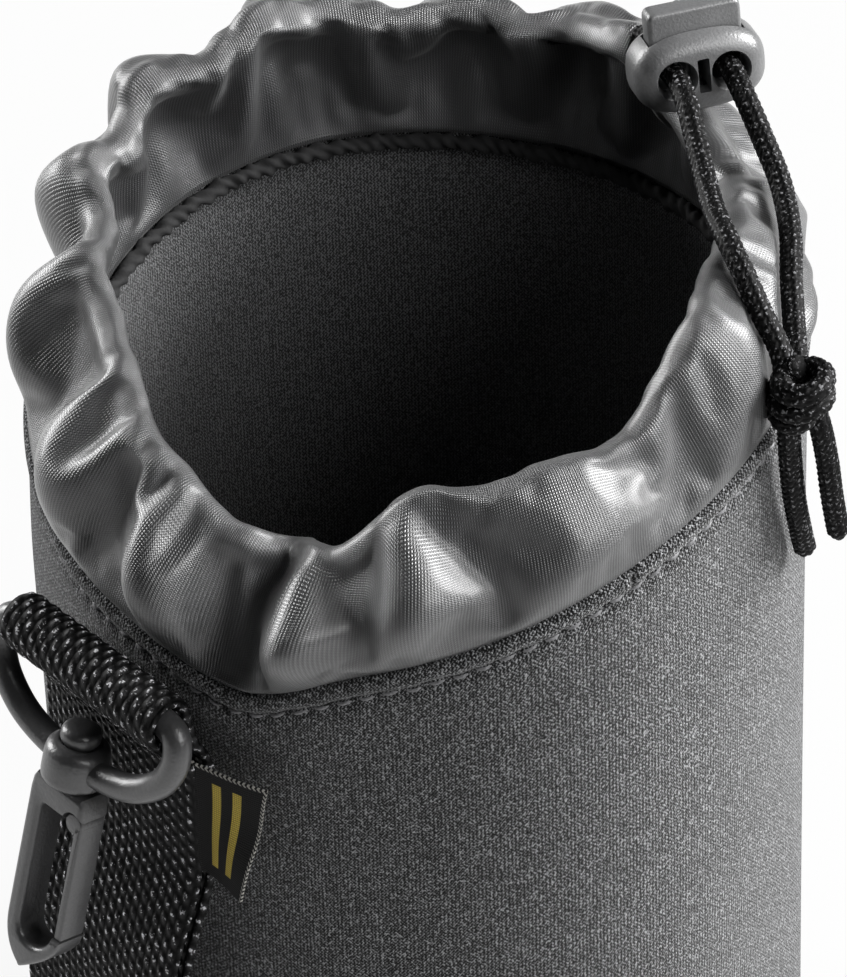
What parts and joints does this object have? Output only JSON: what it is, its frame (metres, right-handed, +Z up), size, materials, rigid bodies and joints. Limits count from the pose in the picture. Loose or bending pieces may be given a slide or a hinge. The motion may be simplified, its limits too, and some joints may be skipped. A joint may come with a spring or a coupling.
{
  "type": "lens pouch",
  "caption": "Padded cylindrical drawstring pouch with a gathered collar, a cord lock, a belt strap and a swivel snap hook.",
  "frame": {"origin": "centre of the base's underside", "axes": "+Z up along the pouch's axis, -Y toward the belt strap, cord lock on the +Y side"},
  "size_m": [0.126, 0.1537, 0.215],
  "materials": {
    "neoprene": "matte knit face on foam",
    "seam_thread": "overlocked thread",
    "nylon": "satin woven nylon",
    "cord": "braided",
    "webbing": "coarse woven webbing",
    "label": "woven label",
    "lock_plastic": "satin",
    "hook_plastic": "satin",
    "spring_steel": "drawn wire"
  },
  "bodies": {
    "pouch": {"side_wall": "neoprene", "rim_binding": "neoprene", "rim_seam": "seam_thread", "base_disc": "neoprene", "base_seam": "seam_thread", "collar": "nylon", "drawcord_hem_run": "cord", "cord_feed_a": "cord", "cord_feed_b": "cord", "cord_run_a": "cord", "cord_run_b": "cord", "cord_knot": "cord", "cord_tail_a": "cord", "cord_tail_b": "cord", "belt_strap": "webbing", "side_label": "label"},
    "loop": {"hook_loop": "hook_plastic"},
    "hook": {"snap_hook": "hook_plastic"},
    "gate": {"hook_gate": "hook_plastic"},
    "lock": {"lock_body": "lock_plastic", "lock_spring": "spring_steel"},
    "button": {"lock_button": "lock_plastic"}
  },
  "joints": [
    {"name": "loop_swing", "type": "hinge", "parent": "pouch", "child": "loop", "pos_m": [0, -0.0675, 0.153], "axis": [-1, 0, 0], "range_deg": [0, 150]},
    {"name": "hook_swivel", "type": "hinge", "parent": "loop", "child": "hook", "pos_m": [0, -0.07205, 0.13714], "axis": [0, 0.2756, 0.9613], "continuous": true},
    {"name": "gate_swing", "type": "hinge", "parent": "hook", "child": "gate", "pos_m": [0.004, -0.07442, 0.12887], "axis": [0, 0.9613, -0.2756], "range_deg": [0, 18], "stiffness_Nm_per_rad": 0.02, "springref_deg": -11.46},
    {"name": "lock_slide", "type": "slide", "parent": "pouch", "child": "lock", "axis": [0.8568, -0.446, 0.2588], "range_m": [0, 0.02], "deforming": ["cord_feed_a", "cord_feed_b", "cord_run_a", "cord_run_b"]},
    {"name": "button_press", "type": "slide", "parent": "lock", "child": "button", "axis": [0.2296, -0.1195, -0.9659], "range_m": [0, 0.0024], "stiffness_N_per_m": 300, "springref_m": -0.003, "deforming": ["lock_spring"]}
  ]
}
